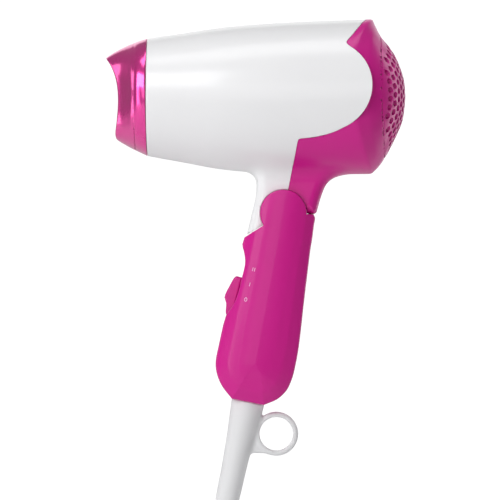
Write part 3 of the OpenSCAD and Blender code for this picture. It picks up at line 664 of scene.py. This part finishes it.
def lead_route():
    """Points of the lead in the part's frame, in mm: down from the strain relief, four turns, out."""
    start = np.array([-21.448, 0, -107.113])
    down = np.array([-math.sin(math.radians(RELIEF_TILT)), 0, -math.cos(math.radians(RELIEF_TILT))])
    points = [start, start + 7 * down, start + 14 * down]
    points += [(-26, -0.4, -128), (-27, -1.6, -135), (-27.6, -3.4, -142), (-27.9, -5.8, -149),
               (-28, -8.4, -156), (-28, -10.9, -163), (-28, -12.9, -170), (-28, -14.1, -177),
               (-28, -14.6, -184), (-28, -14.6, -191)]
    left, right = HANK_X - TURN_R, HANK_X + TURN_R
    for turn in range(4):
        y = -2 * LAYER + turn * LAYER
        points += [(left, y, HANK_TOP - HANK_RUN * k / 6) for k in range(6)]
        points += [(HANK_X + TURN_R * math.cos(a), y, HANK_TOP - HANK_RUN + TURN_R * math.sin(a))
                   for a in np.radians(np.arange(180, 360, 22.5))]
        points += [(right, y, HANK_TOP - HANK_RUN + HANK_RUN * k / 6) for k in range(6)]
        points += [(HANK_X + TURN_R * math.cos(a), y + LAYER * (0.5 - 0.5 * math.cos(a)),
                    HANK_TOP + TURN_R * math.sin(a))
                   for a in np.radians(np.arange(0, 180, 22.5))]
    y = 2 * LAYER
    points += [(left, y, HANK_TOP - HANK_RUN * k / 6) for k in range(6)]
    points += [(left, y, z) for z in (-290, -299, -308, -317)]
    return np.array([tuple(p) for p in points])


def add_lead():
    """The lead's tube, swept along its route; returns the piece, its route and its length in metres."""
    line = np.array(through(lead_route(), 4))
    length = np.linalg.norm(np.diff(line, axis=0), axis=1).sum()
    ahead = np.gradient(line, axis=0)
    ahead /= np.linalg.norm(ahead, axis=1, keepdims=True)
    side = np.array([0.0, 1.0, 0.0])
    sides = 20
    rings = []
    for here, along in zip(line, ahead):
        side = side - along * (side @ along)
        side /= np.linalg.norm(side)
        other = np.cross(along, side)
        turn = 2 * math.pi * np.arange(sides) / sides
        rings.append(here + CORD_R * (np.cos(turn)[:, None] * side + np.sin(turn)[:, None] * other))
    vertices = np.concatenate(rings)
    faces = [[i * sides + k, i * sides + (k + 1) % sides,
              (i + 1) * sides + (k + 1) % sides, (i + 1) * sides + k]
             for i in range(len(line) - 1) for k in range(sides)]
    faces += [list(range(sides))[::-1], [(len(line) - 1) * sides + k for k in range(sides)]]
    mesh = bpy.data.meshes.new("lead")
    mesh.from_pydata((vertices * MM).tolist(), [], faces)
    mesh.polygons.foreach_set("use_smooth", np.ones(len(faces), bool))
    lead = bpy.data.objects.new("lead", mesh)
    bpy.context.scene.collection.objects.link(lead)
    mesh.materials.append(materials["white_pvc"])
    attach(lead, "handle")
    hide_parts("power_cord", "cord_hank", "cord_end")
    return lead, line * MM, length * MM


# ---- Plug and tie, in the part's frame moved to the hinge's ----
PLUG = np.array([-28, 14.6, -317.0])


def plug_field(x, y, z):
    x, y, z = x + HINGE[0] - PLUG[0], y - PLUG[1], z + HINGE[2] - PLUG[2]
    grip = np.hypot(np.maximum(np.abs(x) - 6, 0), y)
    waist = 12 - 1.6 * np.exp(-((z + 20) / 5.0) ** 2)
    f = common((grip - waist) * 0.95, np.abs(z + 27) - 13, 2.4)
    neck_r = 5.2 + 0.1 * -z + 0.45 * np.cos(np.clip(z, -12, -1) * 2 * math.pi / 2.6)
    neck = common(np.hypot(x, y) - neck_r, np.abs(z + 8) - 8, 0.8)
    return union(f, neck, 2.2)


def tie_field(x, y, z):
    x, y, z = x + HINGE[0] - HANK_X, y, z + HINGE[2] - (HANK_TOP - HANK_RUN / 2)
    half_x, half_y = TURN_R + CORD_R, 2 * LAYER + CORD_R

    def slab(grow):
        p, q = np.abs(x) - half_x - grow + CORD_R, np.abs(y) - half_y - grow + CORD_R
        return np.hypot(np.maximum(p, 0), np.maximum(q, 0)) + np.minimum(np.maximum(p, q), 0) - CORD_R

    f = common(common(slab(1.2), -slab(0.06)), np.abs(z) - 6, 0.4)
    tab = common(common(slab(1.15), 0.1 - slab(0)), common(np.abs(z) - 5.4, y), 0.3)
    return union(f, tab)


# ---- Switch marks ----
def side_point(x, z):
    """Where the left side of the handle is, at a point of the side view in the handle's frame."""
    low, high = np.zeros_like(x), np.full_like(x, 18.0)
    for _ in range(30):
        mid = (low + high) / 2
        inside = handle_outer(x, mid, z) < 0
        low, high = np.where(inside, mid, low), np.where(inside, high, mid)
    return (low + high) / 2


def add_marks():
    """Printed marks beside the switch: a ring, one stroke and two, as thin raised ink on both sides."""
    strokes = []
    c, s = math.cos(math.radians(TRACK_LEAN)), math.sin(math.radians(TRACK_LEAN))
    for step, offsets in ((0, ()), (8, (0,)), (16, (-0.5, 0.5))):
        bx, bz = -TRACK_DEPTH + 4.2 * c + step * s, -TRACK_DROP + step * c - 4.2 * s
        if not offsets:
            turn = np.linspace(0, 2 * math.pi, 25)
            strokes.append(np.stack([bx + 0.62 * np.cos(turn), bz + 0.95 * np.sin(turn)], axis=1))
        for offset in offsets:
            along = np.linspace(-0.95, 0.95, 7)
            strokes.append(np.stack([bx + offset + along * s, bz + along * c], axis=1))
    to_head = turned(HANDLE_TILT)
    vertices, faces = [], []
    for line in strokes:
        for sign in (-1, 1):
            ahead = np.gradient(line, axis=0)
            ahead /= np.linalg.norm(ahead, axis=1, keepdims=True)
            across = np.stack([-ahead[:, 1], ahead[:, 0]], axis=1)
            for lift, wide in ((-0.05, 0.17), (0.035, 0.15)):
                for edge in (-1, 1):
                    p = line + across * wide * edge
                    y = side_point(p[:, 0], p[:, 1]) + lift
                    vertices.append(to_head(np.stack([p[:, 0], sign * y, p[:, 1]], axis=1)))
            first = sum(len(v) for v in vertices[:-4])
            n = len(line)
            rows = [first + k * n for k in (0, 1, 3, 2)]
            for i in range(n - 1):
                for a, b in zip(rows, rows[1:] + rows[:1]):
                    quad = [a + i, b + i, b + i + 1, a + i + 1]
                    faces.append(quad if sign < 0 else quad[::-1])
            if not np.allclose(line[0], line[-1]):
                for i, turn in ((0, 1), (n - 1, -1)):
                    end = [r + i for r in rows][::-turn * (1 if sign < 0 else -1)]
                    faces.append(end)
    mesh = bpy.data.meshes.new("switch_marks")
    mesh.from_pydata(((np.concatenate(vertices) + HINGE) * MM).tolist(), [], faces)
    marks = bpy.data.objects.new("switch_marks", mesh)
    bpy.context.scene.collection.objects.link(marks)
    mesh.materials.append(materials["mark"])
    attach(marks, "handle")


# ---- Light and floor ----
def add_area(name, place, aim, size, power):
    data = bpy.data.lights.new(name, "AREA")
    data.shape = "RECTANGLE"
    data.size, data.size_y = size
    data.energy = power
    light = bpy.data.objects.new(name, data)
    bpy.context.scene.collection.objects.link(light)
    light.location = place
    direction = np.array(aim) - np.array(place)
    across = math.atan2(direction[1], direction[0])
    down = math.atan2(-direction[2], math.hypot(direction[0], direction[1]))
    light.rotation_euler = (math.radians(90) - down, 0, across - math.radians(90))


def flat_sheet(name, corners, color, glow):
    mesh = bpy.data.meshes.new(name)
    mesh.from_pydata(corners, [], [(0, 1, 2, 3)])
    sheet = bpy.data.objects.new(name, mesh)
    bpy.context.scene.collection.objects.link(sheet)
    material, tree, shader, place = new_material(name)
    vary_color(tree, add_noise(tree, place, 1.5), color, tuple(c * 0.99 for c in color), shader)
    shader.inputs["Roughness"].default_value = 0.9
    shader.inputs["Emission Color"].default_value = (*color, 1)
    shader.inputs["Emission Strength"].default_value = glow
    mesh.materials.append(material)


def add_studio():
    scene = bpy.context.scene
    world = bpy.data.worlds.new("studio")
    world.use_nodes = True
    tree = world.node_tree
    place = tree.nodes.new("ShaderNodeTexCoord")
    part = tree.nodes.new("ShaderNodeSeparateXYZ")
    ramp = tree.nodes.new("ShaderNodeValToRGB")
    span = tree.nodes.new("ShaderNodeMapRange")
    span.inputs["From Min"].default_value = -1
    tree.links.new(place.outputs["Generated"], part.inputs["Vector"])
    tree.links.new(part.outputs["Z"], span.inputs["Value"])
    tree.links.new(span.outputs["Result"], ramp.inputs["Fac"])
    ramp.color_ramp.elements[0].color = (0.42, 0.42, 0.43, 1)
    ramp.color_ramp.elements[1].color = (0.95, 0.95, 0.96, 1)
    tree.links.new(ramp.outputs["Color"], tree.nodes["Background"].inputs["Color"])
    tree.nodes["Background"].inputs["Strength"].default_value = 0.22
    scene.world = world
    floor_z = cad_box[0][2] - 0.03
    flat_sheet("floor", [(-4, -4, floor_z), (4, -4, floor_z), (4, 4, floor_z), (-4, 4, floor_z)],
               (0.9, 0.9, 0.905), 0.0)
    flat_sheet("backdrop", [(-2.4, 3.2, floor_z), (2.4, 3.2, floor_z), (2.4, 3.2, 2.6), (-2.4, 3.2, 2.6)],
               (0.25, 0.25, 0.25), 3.9)
    add_area("key", (-1.0, -1.5, 1.1), (0, 0, 0.05), (1.1, 0.9), 16)
    add_area("side", (-1.25, -1.35, 0.0), (0, 0, 0.0), (0.5, 1.5), 6.5)
    add_area("top", (0.1, -0.2, 1.4), (0, 0, 0.1), (1.4, 0.5), 6)
    add_area("rim", (1.2, 0.75, 0.25), (0.02, 0, 0.02), (0.5, 1.4), 5.5)
    add_area("fill", (-0.3, -1.9, 0.35), (0, 0, 0.05), (0.9, 0.9), 4)
    add_area("front", (-1.4, 0.2, 0.2), (-0.05, 0, 0.1), (0.4, 1.1), 2.5)


bpy.context.scene.view_settings.view_transform = "Standard"
add_camera()
materials = make_materials()
lead, lead_line, lead_length = add_lead()

for part in record["subparts"]:
    node = frame["nodes"][part["node"]]
    node.data.materials.clear()
    node.data.materials.append(materials[part["material_slot"]])

add_piece("front_shell", front_field, (-79, -42, -16), (48, 42, 104), 0.86, "head", "white_shell",
          ["front_housing"])
add_piece("rear_shell", rear_field, (-10, -42, -14), (52, 42, 104), 0.7, "head", "magenta_shell",
          ["rear_housing"])
add_piece("rear_grille", grille_field, (42, -33, AXIS - 33), (66, 33, AXIS + 33), 0.42, "head",
          "magenta_shell", ["inlet_grille"])
add_piece("air_nozzle", nozzle_field, (-95, -33, 27), (-69, 33, 94), 0.5, "nozzle", "magenta_metallic",
          ["nozzle"])
handle_frame = turned(HANDLE_TILT)
add_piece("grip_left", left_field, (-22, -18, -101), (22, 1, 13), 0.55, "handle", "magenta_shell",
          ["handle_left"], handle_frame)
add_piece("grip_right", right_field, (-22, -1, -101), (22, 18, 13), 0.55, "handle", "magenta_shell",
          ["handle_right"], handle_frame)
c, s = math.cos(math.radians(HANDLE_TILT)), math.sin(math.radians(HANDLE_TILT))
track_origin = (-TRACK_DEPTH * c - TRACK_DROP * s, 0, TRACK_DEPTH * s - TRACK_DROP * c)
add_piece("slide_knob", knob_field, (-8, -6.5, -11.5), (1, 6.5, 11.5), 0.3, "switch", "magenta_shell",
          ["switch_knob"], turned(HANDLE_TILT + TRACK_LEAN, track_origin))
relief_origin = (-HANDLE_LEN * s, 0, -HANDLE_LEN * c)
add_piece("cord_guard", relief_field, (-10, -9.5, -61), (31, 9.5, 5), 0.6, "handle", "white_pvc",
          ["strain_relief"], turned(RELIEF_TILT, relief_origin))
plug_mid = PLUG - HINGE
plug = add_piece("plug", plug_field, plug_mid + (-20, -14, -42), plug_mid + (20, 14, 2), 0.6, "handle",
                 "white_pvc", ["plug_body"])
tie_mid = np.array([HANK_X, 0, HANK_TOP - HANK_RUN / 2]) - HINGE
tie = add_piece("tie", tie_field, tie_mid + (-28, -22, -8), tie_mid + (28, 22, 8), 0.6, "handle", "tie_strap",
                ["cord_tie"])
add_marks()
add_studio()
